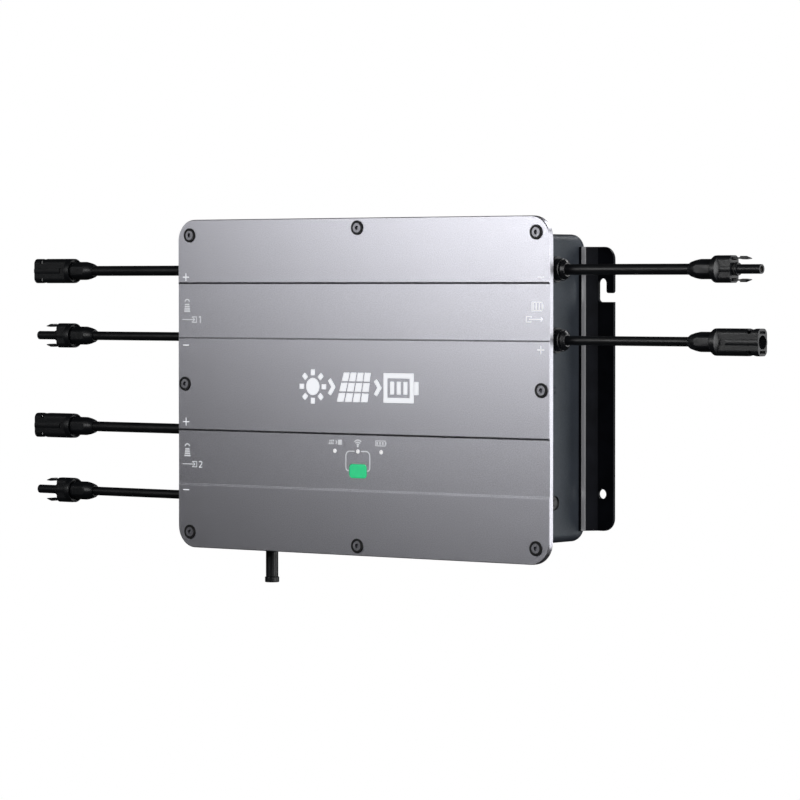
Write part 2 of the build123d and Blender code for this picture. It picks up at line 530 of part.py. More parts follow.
def choke_winding(x, z):
    """Thick turns round the core's ring, one closed loop each."""
    turns, wire = 12, 1.1
    loops = []
    for k in range(turns):
        a = 360.0 * k / turns
        frame_out = block(7.5, 18.8, -8.6, 8.6, -wire, wire)
        hole = block(8.9, 17.1, -7.05, 7.05, -wire - OVER, wire + OVER)
        loops.append(Pos(x, BOARD_FRONT - 9.0, MID_Z + z) * Rot(0, a, 0) * (frame_out - hole))
    return loops


def capacitor(x, z):
    return rod("Y", 9.0, (x, BOARD_FRONT, MID_Z + z), -26.0)


def transistor(x, z):
    return block(x - 8, x + 8, BOARD_Y, BOARD_Y + 4.8, MID_Z + z - 10, MID_Z + z + 10)


def thermal_pad(x, z):
    return block(x - 8, x + 8, BOARD_Y + 4.8, INNER_BACK, MID_Z + z - 10, MID_Z + z + 10)


def relay(x, z):
    return block(x - 14, x + 14, BOARD_FRONT, BOARD_FRONT - 17, MID_Z + z - 8, MID_Z + z + 8)


def terminal(side, z, r):
    """A brass post that stands on the board and takes one lead's end in its cross hole."""
    half = 5.5
    foot = block(side * (TERMINAL_X - 6), side * (TERMINAL_X + 6), BOARD_FRONT, LEAD_Y - half,
                 MID_Z + z - half, MID_Z + z + half)
    return foot - rod("X", r + CLEAR, (side * TERMINAL_X, LEAD_Y, MID_Z + z), side * 8)


def radio_module():
    base = block(-112, -88, BOARD_FRONT, BOARD_FRONT - 1.0, MID_Z - 92, MID_Z - 70)
    return base + block(-110, -90, BOARD_FRONT - 1.0, BOARD_FRONT - 3.2, MID_Z - 88, MID_Z - 72)


# ---- Antenna and vent ----
def antenna_sleeve():
    """A stub below the box with a stud through its floor."""
    stub = rod("Z", ANTENNA_R, (ANTENNA_X, ANTENNA_Y, BOX_FLOOR), -(ANTENNA_DROP - ANTENNA_TIP_L))
    return stub + rod("Z", ANTENNA_STUD_R, (ANTENNA_X, ANTENNA_Y, BOX_FLOOR - 1), WALL + 7.0)


def antenna_tip():
    tip = rod("Z", ANTENNA_TIP_R, (ANTENNA_X, ANTENNA_Y, BOX_FLOOR - ANTENNA_DROP), ANTENNA_TIP_L)
    return fillet(tip.edges(), 0.6)


def antenna_nut():
    thick = 2.5
    hexagon = Plane.XY * RegularPolygon(5.0, 6, major_radius=False)
    nut = extrude(hexagon, thick) - rod("Z", ANTENNA_STUD_R + CLEAR, (0, 0, -OVER), thick + 2 * OVER)
    return Pos(ANTENNA_X, ANTENNA_Y, BOX_FLOOR + WALL) * nut


def antenna_coax():
    """From the antenna's stud up, then back to the radio module."""
    top, rise, r = BOX_FLOOR + WALL + 6.0, 10.0, 0.9
    upright = rod("Z", r, (ANTENNA_X, ANTENNA_Y, top), rise)
    start = (ANTENNA_X, ANTENNA_Y - 0.5, top + rise - 0.5)
    return upright + rod("Y", r, start, BOARD_FRONT - 0.5 - ANTENNA_Y)


def vent_plug():
    """Pressure-equalising plug: a ringed head outside the wall and a stem through it."""
    stem_l = WALL + 3.0
    centre = (SIDE_X, VENT_Y, MID_Z + VENT_LOW)
    head_x = SIDE_X + VENT_HEAD
    plug = rod("X", VENT_R, centre, VENT_HEAD) + rod("X", VENT_STEM_R, centre, -stem_l)
    plug -= ring("X", VENT_R - 0.5, VENT_R - 3.0, (head_x + OVER, VENT_Y, MID_Z + VENT_LOW), -1.0 - OVER)
    return plug - rod("X", 1.5, (SIDE_X - stem_l - OVER, VENT_Y, MID_Z + VENT_LOW), stem_l + OVER)


# ---- Assembly ----
parts = {}
parts["front_cover"] = front_cover()
parts["cover_gasket"] = cover_gasket()
parts["cover_screws"] = group([hex_screw(x, MID_Z + z) for x, z in SCREW_PLACES])
parts["screw_bushes"] = group([screw_bush(x, MID_Z + z) for x, z in SCREW_PLACES])
parts["rear_housing"] = rear_housing()
parts["mounting_bracket_left"] = bracket(-1)
parts["mounting_bracket_right"] = bracket(1)
bracket_screw_places = [(s * BRACKET_SCREW_X, MID_Z + z) for s in (-1, 1) for z in BRACKET_SCREW_Z]
parts["bracket_screws"] = group([bracket_screw(x, z) for x, z in bracket_screw_places])
parts["vent_plug"] = vent_plug()

parts["button_cap"] = button_cap()
parts["switch_plunger"] = switch_plunger()
parts["button_switch"] = button_switch()
parts["indicator_board"] = indicator_board()
parts["indicator_spacers"] = group([panel_post(x) for x in (-PANEL_POST_X, PANEL_POST_X)])
parts["indicator_screws"] = group([panel_screw(x) for x in (-PANEL_POST_X, PANEL_POST_X)])
parts["light_guides"] = group([light_guide(k) for k in (-1, 0, 1)])
parts["status_leds"] = group([status_led(k) for k in (-1, 0, 1)])
parts["ribbon_cable"] = block(24, 29, PANEL_Y + PANEL_T, BOARD_FRONT, MID_Z - 48, MID_Z - 47.2)

parts["main_board"] = main_board()
parts["board_standoffs"] = group([standoff(x, z) for x, z in STANDOFF_PLACES])
parts["board_screws"] = group([board_screw(x, z) for x, z in STANDOFF_PLACES])
parts["choke_cores"] = group([choke_core(x, z) for x, z in CHOKE_PLACES])
parts["choke_windings"] = group([turn for x, z in CHOKE_PLACES for turn in choke_winding(x, z)])
parts["bulk_capacitors"] = group([capacitor(x, z) for x, z in CAPACITOR_PLACES])
parts["power_transistors"] = group([transistor(x, z) for x, z in TRANSISTOR_PLACES])
parts["thermal_pads"] = group([thermal_pad(x, z) for x, z in TRANSISTOR_PLACES])
parts["output_relays"] = group([relay(x, z) for x, z in RELAY_PLACES])
parts["radio_module"] = radio_module()

parts["antenna_sleeve"] = antenna_sleeve()
parts["antenna_tip"] = antenna_tip()
parts["antenna_nut"] = antenna_nut()
parts["antenna_coax"] = antenna_coax()

parts["terminal_posts"] = group([terminal(*lead) for lead in LEADS.values()])
parts["gland_bodies"] = group([gland_body(*lead) for lead in LEADS.values()])
parts["gland_nuts"] = group([gland_nut(*lead) for lead in LEADS.values()])
parts["gland_seals"] = group([gland_seal(*lead) for lead in LEADS.values()])
parts["gland_locknuts"] = group([gland_locknut(side, z) for side, z, _ in LEADS.values()])
parts["inner_leads"] = group([inner_lead(*lead) for lead in LEADS.values()])

for name, (side, z, r) in LEADS.items():
    plug_name = name.replace("lead_", "plug_")
    parts[name] = rod("X", r, (side * MOUTH_X, LEAD_Y, MID_Z + z), side * LEAD_FREE[side])
    if name in PROBE_LEADS:
        parts[plug_name] = probe_plug(side, z, r)
        parts[f"{plug_name}_upper_latch"] = latch(side, z, 1)
        parts[f"{plug_name}_lower_latch"] = latch(side, z, -1)
    else:
        parts[plug_name] = shell_plug(side, z, r)
parts["plug_caps"] = group([plug_cap(*lead) for lead in LEADS.values()])
parts["plug_seals"] = group([plug_seal(*LEADS[name][:2]) for name in PROBE_LEADS])
parts["contact_sockets"] = group([contact(*LEADS[name], True) for name in PROBE_LEADS])
parts["contact_pins"] = group([contact(*LEADS[name], False) for name in LEADS if name not in PROBE_LEADS])

os.makedirs("parts", exist_ok=True)
for name, shape in parts.items():
    export_step(shape, f"parts/{name}.step")
print(len(parts), "nodes")
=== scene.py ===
import json
import math

import bmesh
import bpy
from mathutils import Matrix, Vector


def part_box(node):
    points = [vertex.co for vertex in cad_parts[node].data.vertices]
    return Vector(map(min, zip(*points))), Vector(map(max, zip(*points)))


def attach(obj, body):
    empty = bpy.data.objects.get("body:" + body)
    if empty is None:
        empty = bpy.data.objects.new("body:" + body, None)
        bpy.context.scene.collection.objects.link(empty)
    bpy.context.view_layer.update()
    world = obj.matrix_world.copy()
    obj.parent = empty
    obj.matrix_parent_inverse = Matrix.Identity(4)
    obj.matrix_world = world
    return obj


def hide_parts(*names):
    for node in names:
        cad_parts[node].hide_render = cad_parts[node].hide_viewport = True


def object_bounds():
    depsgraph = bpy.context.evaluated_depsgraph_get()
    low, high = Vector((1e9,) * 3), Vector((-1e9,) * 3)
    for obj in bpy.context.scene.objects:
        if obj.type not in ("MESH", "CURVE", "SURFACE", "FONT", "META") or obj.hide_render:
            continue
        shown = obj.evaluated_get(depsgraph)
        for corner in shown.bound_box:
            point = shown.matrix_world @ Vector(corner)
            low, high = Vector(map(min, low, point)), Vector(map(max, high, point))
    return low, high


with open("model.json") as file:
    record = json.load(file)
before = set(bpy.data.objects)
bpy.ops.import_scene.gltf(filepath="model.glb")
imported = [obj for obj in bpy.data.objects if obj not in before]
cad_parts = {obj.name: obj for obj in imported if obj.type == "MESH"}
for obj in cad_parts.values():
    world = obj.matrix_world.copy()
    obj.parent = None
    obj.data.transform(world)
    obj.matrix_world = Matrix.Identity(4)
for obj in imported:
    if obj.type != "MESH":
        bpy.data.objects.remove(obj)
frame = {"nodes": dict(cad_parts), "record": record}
cad_low, cad_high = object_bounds()
scene = bpy.context.scene
MM = 0.001

# ---- Places read from the frame ----
cover_low, cover_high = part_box("front_cover")
FACE_Y = cover_low.y
MID_Z = (cover_low.z + cover_high.z) / 2
BAND_DEPTH = 0.6 * MM
RECESS_Y = FACE_Y + BAND_DEPTH
EDGE_TO_FOLD = 19.8 * MM  # from a bracket's outer edge to the outer fold of its lip
FOLD_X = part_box("mounting_bracket_right")[1].x - EDGE_TO_FOLD
BODY_OF = {node: body for body, nodes in frame["record"]["behaviour"]["bodies"].items() for node in nodes}
SLOT_OF = {row["node"]: row["material_slot"] for row in frame["record"]["subparts"]}


# ---- Camera ----
CAMERA_AZIMUTH, CAMERA_ELEVATION = 37.8, 1.62
CAMERA_DISTANCE = 2.917
CAMERA_LENS = 182
AIM_RIGHT, AIM_DOWN = 39.3 * MM, 8.8 * MM


def make_camera():
    """At the right of the object and a little above its middle, far off, with a long lens."""
    azimuth, elevation = math.radians(CAMERA_AZIMUTH), math.radians(CAMERA_ELEVATION)
    aim = Vector((AIM_RIGHT, FACE_Y, MID_Z - AIM_DOWN))
    back = Vector((math.sin(azimuth) * math.cos(elevation), -math.cos(azimuth) * math.cos(elevation),
                   math.sin(elevation)))
    camera = bpy.data.objects.new("camera", bpy.data.cameras.new("camera"))
    camera.data.sensor_width = 36
    camera.data.lens = CAMERA_LENS
    camera.data.clip_start, camera.data.clip_end = 0.05, 60
    camera.location = aim + back * CAMERA_DISTANCE
    camera.rotation_mode = "QUATERNION"
    camera.rotation_quaternion = (-back).to_track_quat("-Z", "Y")
    scene.collection.objects.link(camera)
    scene.camera = camera


make_camera()


# ---- Material helpers ----
class Shader:
    """A Principled material with a few procedural inputs; all textures use object coordinates, in metres."""

    def __init__(self, name, colour, rough, metallic=0.0, specular=0.5, coat=0.0, coat_rough=0.1):
        self.material = bpy.data.materials.new(name)
        self.material.use_nodes = True
        self.tree = self.material.node_tree
        self.bsdf = self.tree.nodes["Principled BSDF"]
        self.colour = colour
        self.set("Base Color", (*colour, 1))
        self.set("Roughness", rough)
        self.set("Metallic", metallic)
        self.set("Specular IOR Level", specular)
        self.set("Coat Weight", coat)
        self.set("Coat Roughness", coat_rough)
        self.coords = self.tree.nodes.new("ShaderNodeTexCoord").outputs["Object"]
        self.height = None

    def set(self, socket, value):
        self.bsdf.inputs[socket].default_value = value

    def noise(self, scale, detail=2.0, stretch=(1, 1, 1), rough=0.5):
        """Procedural noise, with scale in cells per metre."""
        mapping = self.tree.nodes.new("ShaderNodeMapping")
        mapping.inputs["Scale"].default_value = stretch
        self.tree.links.new(self.coords, mapping.inputs["Vector"])
        noise = self.tree.nodes.new("ShaderNodeTexNoise")
        noise.inputs["Scale"].default_value = scale
        noise.inputs["Detail"].default_value = detail
        noise.inputs["Roughness"].default_value = rough
        self.tree.links.new(mapping.outputs["Vector"], noise.inputs["Vector"])
        return noise.outputs["Fac"]

    def span(self, value, low, high, start=0.3, end=0.7):
        """value, from start to end, as low to high."""
        node = self.tree.nodes.new("ShaderNodeMapRange")
        for name, number in (("From Min", start), ("From Max", end), ("To Min", low), ("To Max", high)):
            node.inputs[name].default_value = number
        self.tree.links.new(value, node.inputs["Value"])
        return node.outputs["Result"]

    def tint(self, value, dark, light, start=0.3, end=0.7):
        """Base colour from dark to light shares of the material's colour."""
        ramp = self.tree.nodes.new("ShaderNodeValToRGB")
        ramp.color_ramp.elements[0].position = start
        ramp.color_ramp.elements[1].position = end
        for element, share in zip(ramp.color_ramp.elements, (dark, light)):
            element.color = (*[min(1.0, c * share) for c in self.colour], 1)
        self.tree.links.new(value, ramp.inputs["Fac"])
        self.tree.links.new(ramp.outputs["Color"], self.bsdf.inputs["Base Color"])
        return self

    def rough_between(self, value, low, high, start=0.3, end=0.7):
        self.tree.links.new(self.span(value, low, high, start, end), self.bsdf.inputs["Roughness"])
        return self

    def stripe(self, middle, half, soft):
        """1 where the distance from the plane x = 0 is within half of middle, fading to 0 over soft."""
        split = self.tree.nodes.new("ShaderNodeSeparateXYZ")
        self.tree.links.new(self.coords, split.inputs["Vector"])
        value = split.outputs["X"]
        for operation, number in (("ABSOLUTE", 0), ("SUBTRACT", middle), ("ABSOLUTE", 0)):
            node = self.tree.nodes.new("ShaderNodeMath")
            node.operation = operation
            node.inputs[1].default_value = number
            self.tree.links.new(value, node.inputs[0])
            value = node.outputs["Value"]
        return self.span(value, 1.0, 0.0, half, half + soft)

    def paint_highlight(self, where, colour, low, high):
        """Where the mask is 1, a painted highlight colour is mixed over the base colour, and specular goes
        from low to high; tint comes first.
        """
        coat, highlight_colour, result = 6, 7, 2  # the colour sockets of a Mix node, after its number and vector ones
        mix = self.tree.nodes.new("ShaderNodeMix")
        mix.data_type = "RGBA"
        self.tree.links.new(where, mix.inputs["Factor"])
        self.tree.links.new(self.bsdf.inputs["Base Color"].links[0].from_socket, mix.inputs[coat])
        mix.inputs[highlight_colour].default_value = (*colour, 1)
        self.tree.links.new(mix.outputs[result], self.bsdf.inputs["Base Color"])
        self.tree.links.new(self.span(where, low, high, 0, 1), self.bsdf.inputs["Specular IOR Level"])
        return self

    def bump(self, value, depth, strength=1.0):
        """depth is in metres."""
        node = self.tree.nodes.new("ShaderNodeBump")
        node.inputs["Strength"].default_value = strength
        node.inputs["Distance"].default_value = depth
        self.tree.links.new(value, node.inputs["Height"])
        if self.height:
            self.tree.links.new(self.height, node.inputs["Normal"])
        self.height = node.outputs["Normal"]
        self.tree.links.new(self.height, self.bsdf.inputs["Normal"])
        return self


def blasted_aluminium():
    """Fine bead-blasted grain, in tint and in relief."""
    s = Shader("blasted_anodised_aluminium", (0.62, 0.62, 0.675), 0.37, metallic=1.0)
    grain = s.noise(1500, detail=3, rough=0.65)
    s.tint(grain, 0.80, 1.18, 0.32, 0.68)
    s.rough_between(s.noise(700, detail=2), 0.33, 0.41)
    return s.bump(grain, 0.00004, 0.5).material


def housing_paint():
    s = Shader("dark_powder_coat", (0.026, 0.031, 0.040), 0.5, specular=0.45)
    s.set("Specular Tint", (0.84, 0.94, 1.0, 1))
    peel = s.noise(1100, detail=2, rough=0.55)
    s.tint(s.noise(45, detail=3), 0.85, 1.15)
    s.rough_between(s.noise(900, detail=2), 0.42, 0.56)
    return s.bump(peel, 0.00005, 0.5).material


def bracket_paint():
    """Black, with a painted highlight: a narrow lighter line along the lip's fold."""
    s = Shader("black_powder_coat", (0.006, 0.0065, 0.009), 0.36)
    s.tint(s.noise(60, detail=3), 0.7, 1.4)
    # Painted highlight: a narrow lighter, more specular line along the fold stands in for light caught
    # there.
    painted_highlight_line = s.stripe(FOLD_X + 0.15 * MM, 0.30 * MM, 0.1 * MM)
    s.paint_highlight(painted_highlight_line, (0.19, 0.19, 0.20), 0.04, 0.9)
    s.rough_between(s.noise(1300, detail=2), 0.31, 0.40)
    return s.bump(s.noise(1600, detail=2), 0.00003, 0.4).material


def moulded_plastic(name="black_moulded_plastic", colour=(0.0075, 0.0085, 0.0105), rough=0.38):
    s = Shader(name, colour, rough, specular=0.5)
    s.tint(s.noise(120, detail=3), 0.8, 1.25)
    s.rough_between(s.noise(1400, detail=2), rough - 0.05, rough + 0.07)
    return s.bump(s.noise(2600, detail=2), 0.00002, 0.4).material


def cable_sheath():
    s = Shader("cable_sheath", (0.006, 0.0066, 0.008), 0.40, specular=0.5)
    s.tint(s.noise(160, detail=3), 0.8, 1.3)
    s.rough_between(s.noise(300, detail=2, stretch=(0.15, 1, 1)), 0.34, 0.46)
    return s.bump(s.noise(900, detail=2, stretch=(0.1, 1, 1)), 0.00002, 0.5).material


def steel(name, colour, rough):
    s = Shader(name, colour, rough, metallic=1.0)
    s.tint(s.noise(900, detail=3), 0.8, 1.15)
    s.rough_between(s.noise(600, detail=2), rough - 0.06, rough + 0.08)
    return s.bump(s.noise(2200, detail=2), 0.00002, 0.3).material


def green_plastic():
    s = Shader("green_button_plastic", (0.030, 0.62, 0.24), 0.33, specular=0.5, coat=0.25, coat_rough=0.25)
    s.tint(s.noise(250, detail=2), 0.92, 1.06)
    s.rough_between(s.noise(1200, detail=2), 0.28, 0.38)
    # Painted light: emission makes the button glow though it is no lamp.
    s.set("Emission Color", (0.035, 0.60, 0.25, 1))
    s.set("Emission Strength", 0.6)
    return s.bump(s.noise(2400, detail=2), 0.00001, 0.4).material


def milky_plastic():
    s = Shader("milky_light_guide", (0.86, 0.87, 0.89), 0.28, specular=0.5)
    s.set("Subsurface Weight", 0.15)
    s.set("Subsurface Radius", (0.001, 0.001, 0.001))
    s.tint(s.noise(700, detail=2), 0.94, 1.0)
    # Painted light: emission brightens the light guide ends as a glow of their own.
    s.set("Emission Color", (1.0, 1.0, 1.0, 1))
    s.set("Emission Strength", 0.55)
    return s.bump(s.noise(1800), 0.00001, 0.3).material


def print_ink(name, shade, painted_glow):
    s = Shader(name, (shade * 0.97, shade * 0.98, shade * 1.04), 0.5, specular=0.3)
    s.tint(s.noise(2200, detail=2), 0.93, 1.0)
    # Painted light: emission makes the print glow though it is no lamp.
    s.set("Emission Color", (0.95, 0.97, 1.0, 1))
    s.set("Emission Strength", painted_glow)
    return s.bump(s.noise(3000), 0.000008, 0.4).material


def plain(name, colour, rough, metallic=0.0):
    s = Shader(name, colour, rough, metallic=metallic)
    s.tint(s.noise(300, detail=3), 0.85, 1.12)
    s.rough_between(s.noise(800, detail=2), rough - 0.06, rough + 0.06)
    return s.bump(s.noise(1500, detail=2), 0.00002, 0.4).material


MATERIALS = {
    "cover_aluminium": blasted_aluminium(),
    "housing_coat": housing_paint(),
    "bracket_coat": bracket_paint(),
    "black_plastic": moulded_plastic(),
    "cable_sheath": cable_sheath(),
    "seal_rubber": plain("seal_rubber", (0.012, 0.012, 0.012), 0.7),
    "fastener_steel": steel("plain_steel", (0.5, 0.5, 0.52), 0.3),
    "screw_head": steel("dark_zinc_steel", (0.34, 0.34, 0.37), 0.42),
    "button_green": green_plastic(),
    "light_guide": milky_plastic(),
    "led_case": plain("led_case", (0.8, 0.8, 0.6), 0.3),
    "circuit_board": plain("solder_mask", (0.01, 0.11, 0.045), 0.35),
    "dark_component": plain("dark_component", (0.015, 0.015, 0.016), 0.5),
    "ferrite": plain("ferrite", (0.07, 0.072, 0.075), 0.6),
    "copper_wire": plain("enamelled_copper", (0.62, 0.22, 0.08), 0.25, metallic=1.0),
    "capacitor_sleeve": plain("capacitor_sleeve", (0.012, 0.018, 0.05), 0.3),
    "thermal_pad": plain("thermal_pad", (0.35, 0.42, 0.5), 0.7),
    "plated_contact": steel("tin_plate", (0.72, 0.70, 0.66), 0.25),
    "shield_can": steel("shield_plate", (0.7, 0.7, 0.7), 0.3),
}
BRIGHT_INK = print_ink("white_print", 0.86, 0.62)
PALE_INK = print_ink("pale_grey_print", 0.62, 0.42)


# ---- Mesh helpers ----
def new_object(name, mesh, material, body="root", smooth_angle=32):
    """Adds a piece that rides on a CAD body."""
    mesh.materials.clear()
    mesh.materials.append(material)
    mesh.shade_smooth()
    mesh.set_sharp_from_angle(angle=math.radians(smooth_angle))
    obj = bpy.data.objects.new(name, mesh)
    scene.collection.objects.link(obj)
    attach(obj, body)
    return obj


def from_bmesh(bm, name):
    bmesh.ops.recalc_face_normals(bm, faces=bm.faces)
    mesh = bpy.data.meshes.new(name)
    bm.to_mesh(mesh)
    bm.free()
    return mesh


def soften(obj, width, segments=3, angle=38):
    """Rounds every sharp edge by width, in metres."""
    bevel = obj.modifiers.new("rounded_edges", "BEVEL")
    bevel.width = width
    bevel.segments = segments
    bevel.limit_method = "ANGLE"
    bevel.angle_limit = math.radians(angle)
    bevel.use_clamp_overlap = True
    flats = obj.modifiers.new("flat_faces_stay_flat", "WEIGHTED_NORMAL")
    flats.keep_sharp = True
    flats.weight = 90
    return obj


def refined(node, piece, edge, segments=3, smooth_angle=32, bevel_angle=38, look=None):
    """A CAD node's own shape as a welded mesh with rounded edges, which stands for that node."""
    bm = bmesh.new()
    bm.from_mesh(frame["nodes"][node].data)
    bmesh.ops.remove_doubles(bm, verts=bm.verts, dist=2e-6)
    bmesh.ops.dissolve_limit(bm, angle_limit=math.radians(0.4), verts=bm.verts, edges=bm.edges)
    mesh = from_bmesh(bm, piece)
    slot = SLOT_OF[node]
    obj = new_object(piece, mesh, look or MATERIALS[slot], BODY_OF[node], smooth_angle)
    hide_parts(node)
    return soften(obj, edge, segments, bevel_angle)


# ---- Leads ----
def make_lead(name):
    """A straight sheathed lead from a gland's mouth to the rear of its plug."""
    low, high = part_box(name)
    outward = 1 if low.x > 0 else -1
    start, end = (low.x, high.x) if outward > 0 else (high.x, low.x)
    y, z = (low.y + high.y) / 2, (low.z + high.z) / 2
    radius = (high.z - low.z) / 2
    curve = bpy.data.curves.new(name + "_sheath", "CURVE")
    curve.dimensions = "3D"
    curve.bevel_depth = radius
    curve.bevel_resolution = 10
    curve.use_fill_caps = True
    spline = curve.splines.new("NURBS")
    spline.points.add(3)
    for k, point in enumerate(spline.points):
        point.co = (start + (end - start) * k / 3, y, z, 1)
    spline.order_u = 3
    spline.use_endpoint_u = True
    curve.resolution_u = 8
    curve.materials.append(MATERIALS["cable_sheath"])
    lead = bpy.data.objects.new(name + "_sheath", curve)
    scene.collection.objects.link(lead)
    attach(lead, "root")
    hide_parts(name)
    return lead, (start, y, z), abs(end - start), 2 * radius


# ---- Shells, brackets and small hardware ----
refined("front_cover", "cover_plate", 0.30 * MM, smooth_angle=15, bevel_angle=22)
refined("rear_housing", "cast_housing", 0.55 * MM)
refined("mounting_bracket_left", "left_wall_bracket", 0.45 * MM)
refined("mounting_bracket_right", "right_wall_bracket", 0.45 * MM)
refined("screw_bushes", "screw_cup_washers", 0.22 * MM,
        look=moulded_plastic("matt_black_washer", (0.004, 0.004, 0.005), 0.55))
refined("cover_screws", "cover_hex_screws", 0.15 * MM)
refined("bracket_screws", "countersunk_bracket_screws", 0.10 * MM)
refined("vent_plug", "pressure_vent", 0.30 * MM)
refined("gland_bodies", "gland_bases", 0.45 * MM)
refined("gland_nuts", "gland_cap_nuts", 0.50 * MM, segments=4,
        look=moulded_plastic("glossy_gland_plastic", (0.006, 0.0065, 0.008), 0.24))
refined("antenna_sleeve", "antenna_stub", 0.35 * MM)
refined("antenna_tip", "antenna_end_collar", 0.12 * MM)
refined("button_cap", "push_button", 0.30 * MM, segments=4)
refined("light_guides", "light_guide_ends", 0.10 * MM)
refined("plug_caps", "plug_cap_nuts", 0.20 * MM)
refined("plug_seals", "plug_o_rings", 0.05 * MM)
refined("contact_pins", "plug_contact_pins", 0.10 * MM)
refined("contact_sockets", "plug_contact_sockets", 0.08 * MM)

for lead_name in sorted(n for n in frame["nodes"] if n.startswith("lead_")):
    plug_name = lead_name.replace("lead_", "plug_")
    carried = [refined(plug_name, plug_name + "_body", 0.35 * MM)]
    for latch in sorted(n for n in frame["nodes"] if n.startswith(plug_name + "_") and n.endswith("_latch")):
        carried.append(refined(latch, latch + "_arm", 0.15 * MM))
    lead, exit_point, length, diameter = make_lead(lead_name)


# ---- Printed markings ----
PRINT_T = 0.03 * MM
SHARPEST_MITRE = 0.4
EMBLEM_Z = -0.3
SIGN_X_LEFT, SIGN_X_RIGHT = -164.3, 164.4
UPPER_LABEL_Z, LOWER_LABEL_Z = 57.6, -51.0
LIGHTS_Z, LIGHTS_PITCH = -47.0, 21.5


class Ink:
    """Flat printed shapes in millimetres from the cover's centre, on the face at plane_y."""

    def __init__(self, name, plane_y, material):
        self.name, self.y, self.material, self.bm = name, plane_y, material, bmesh.new()

    def shape(self, points):
        """One closed outline as a thin slab."""
        front = [self.bm.verts.new((x * MM, self.y - PRINT_T, MID_Z + z * MM)) for x, z in points]
        rear = [self.bm.verts.new((x * MM, self.y, MID_Z + z * MM)) for x, z in points]
        self.bm.faces.new(front)
        self.bm.faces.new(list(reversed(rear)))
        for k in range(len(points)):
            j = (k + 1) % len(points)
            self.bm.faces.new((front[k], front[j], rear[j], rear[k]))
        return self

    def bar(self, x0, z0, x1, z1):
        return self.shape([(x0, z0), (x1, z0), (x1, z1), (x0, z1)])

    def disc(self, x, z, r, steps=32):
        turns = [2 * math.pi * k / steps for k in range(steps)]
        return self.shape([(x + r * math.cos(a), z + r * math.sin(a)) for a in turns])

    def line(self, points, width):
        """A mitred stroke along an open path."""
        sides = ([], [])
        for k, p in enumerate(points):
            before = Vector(points[max(k - 1, 0)])
            after = Vector(points[min(k + 1, len(points) - 1)])
            here = Vector(p)
            d1 = (here - before).normalized() if k else (after - here).normalized()
            d2 = (after - here).normalized() if k < len(points) - 1 else d1
            normal = Vector((-(d1 + d2).y, (d1 + d2).x)).normalized()
            half = width / 2 / max(SHARPEST_MITRE, normal.dot(Vector((-d1.y, d1.x))))
            sides[0].append(tuple(here + normal * half))
            sides[1].append(tuple(here - normal * half))
        for k in range(len(points) - 1):
            self.shape([sides[0][k], sides[0][k + 1], sides[1][k + 1], sides[1][k]])
        return self

    def arc(self, x, z, r, start, end, width, steps=16):
        angles = [math.radians(start + (end - start) * k / steps) for k in range(steps + 1)]
        return self.line([(x + r * math.cos(a), z + r * math.sin(a)) for a in angles], width)

    def done(self):
        return new_object(self.name, from_bmesh(self.bm, self.name), self.material, "root")


def sun(ink, x, z, size, rays=8):
    """A disc with a ring of short rays."""
    ink.disc(x, z, 0.25 * size)
    for k in range(rays):
        a = 2 * math.pi * k / rays
        d, n = Vector((math.cos(a), math.sin(a))), Vector((-math.sin(a), math.cos(a)))
        c = Vector((x, z))
        inner, outer, half = 0.33 * size, 0.50 * size, 0.075 * size
        ends = ((inner, -half), (outer, -half), (outer, half), (inner, half))
        ink.shape([tuple(c + d * along + n * aside) for along, aside in ends])


def panel(ink, x, z, width, height, columns=4, rows=3, gap=0.16, lean=0.22, narrow=0.14):
    """A solar panel: a grid of filled cells, leaning over and narrowing upwards."""
    for r in range(rows):
        for c in range(columns):
            u0, u1 = (c + gap / 2) / columns, (c + 1 - gap / 2) / columns
            v0, v1 = (r + gap / 2) / rows, (r + 1 - gap / 2) / rows
            corners = []
            for u, v in ((u0, v0), (u1, v0), (u1, v1), (u0, v1)):
                share = 1 - narrow * v
                shift = lean * height * (v - 0.5)
                corners.append((x + (u - 0.5) * width * share + shift, z + (v - 0.5) * height))
            ink.shape(corners)


def chevron(ink, x, z, size, width):
    ink.line([(x - size * 0.35, z + size), (x + size * 0.35, z), (x - size * 0.35, z - size)], width)


def battery(ink, x, z, width, height, stroke, bars=3, fill=1.0):
    """An outlined cell with a terminal, and charge bars that take the share fill of their room."""
    x0, x1, z0, z1 = x - width / 2, x + width / 2, z - height / 2, z + height / 2
    ink.bar(x0, z1 - stroke, x1, z1).bar(x0, z0, x1, z0 + stroke)
    ink.bar(x0, z0 + stroke, x0 + stroke, z1 - stroke).bar(x1 - stroke, z0 + stroke, x1, z1 - stroke)
    ink.bar(x1 + 0.12 * stroke, z - height * 0.22, x1 + 1.2 * stroke, z + height * 0.22)
    pitch = (width - 2.6 * stroke) / bars
    for k in range(bars):
        left = x0 + 1.7 * stroke + k * pitch
        ink.bar(left, z0 + 1.7 * stroke, left + (pitch - 0.7 * stroke) * fill, z1 - 1.7 * stroke)


def sign(ink, x, z, plus, size=6.0, stroke=0.72):
    """A plus or a minus."""
    ink.bar(x - size / 2, z - stroke / 2, x + size / 2, z + stroke / 2)
    if plus:
        ink.bar(x - stroke / 2, z + stroke / 2, x + stroke / 2, z + size / 2)
        ink.bar(x - stroke / 2, z - size / 2, x + stroke / 2, z - stroke / 2)


def numeral(ink, x, z, digit, height=5.2, stroke=0.85):
    """The digit 1 or 2."""
    h, w = height / 2, height * 0.27
    if digit == 1:
        ink.bar(x - stroke / 2, z - h, x + stroke / 2, z + h)
        ink.line([(x - w, z + h - 1.1), (x - stroke / 2, z + h - 0.2)], stroke)
    else:
        ink.line([(x - w, z + h - 0.9), (x - w * 0.4, z + h - stroke / 2), (x + w * 0.5, z + h - stroke / 2),
                  (x + w, z + h - 1.1), (x + w * 0.7, z + 0.1), (x - w, z - h + stroke / 2)], stroke)
        ink.bar(x - w, z - h, x + w + 0.1, z - h + stroke)


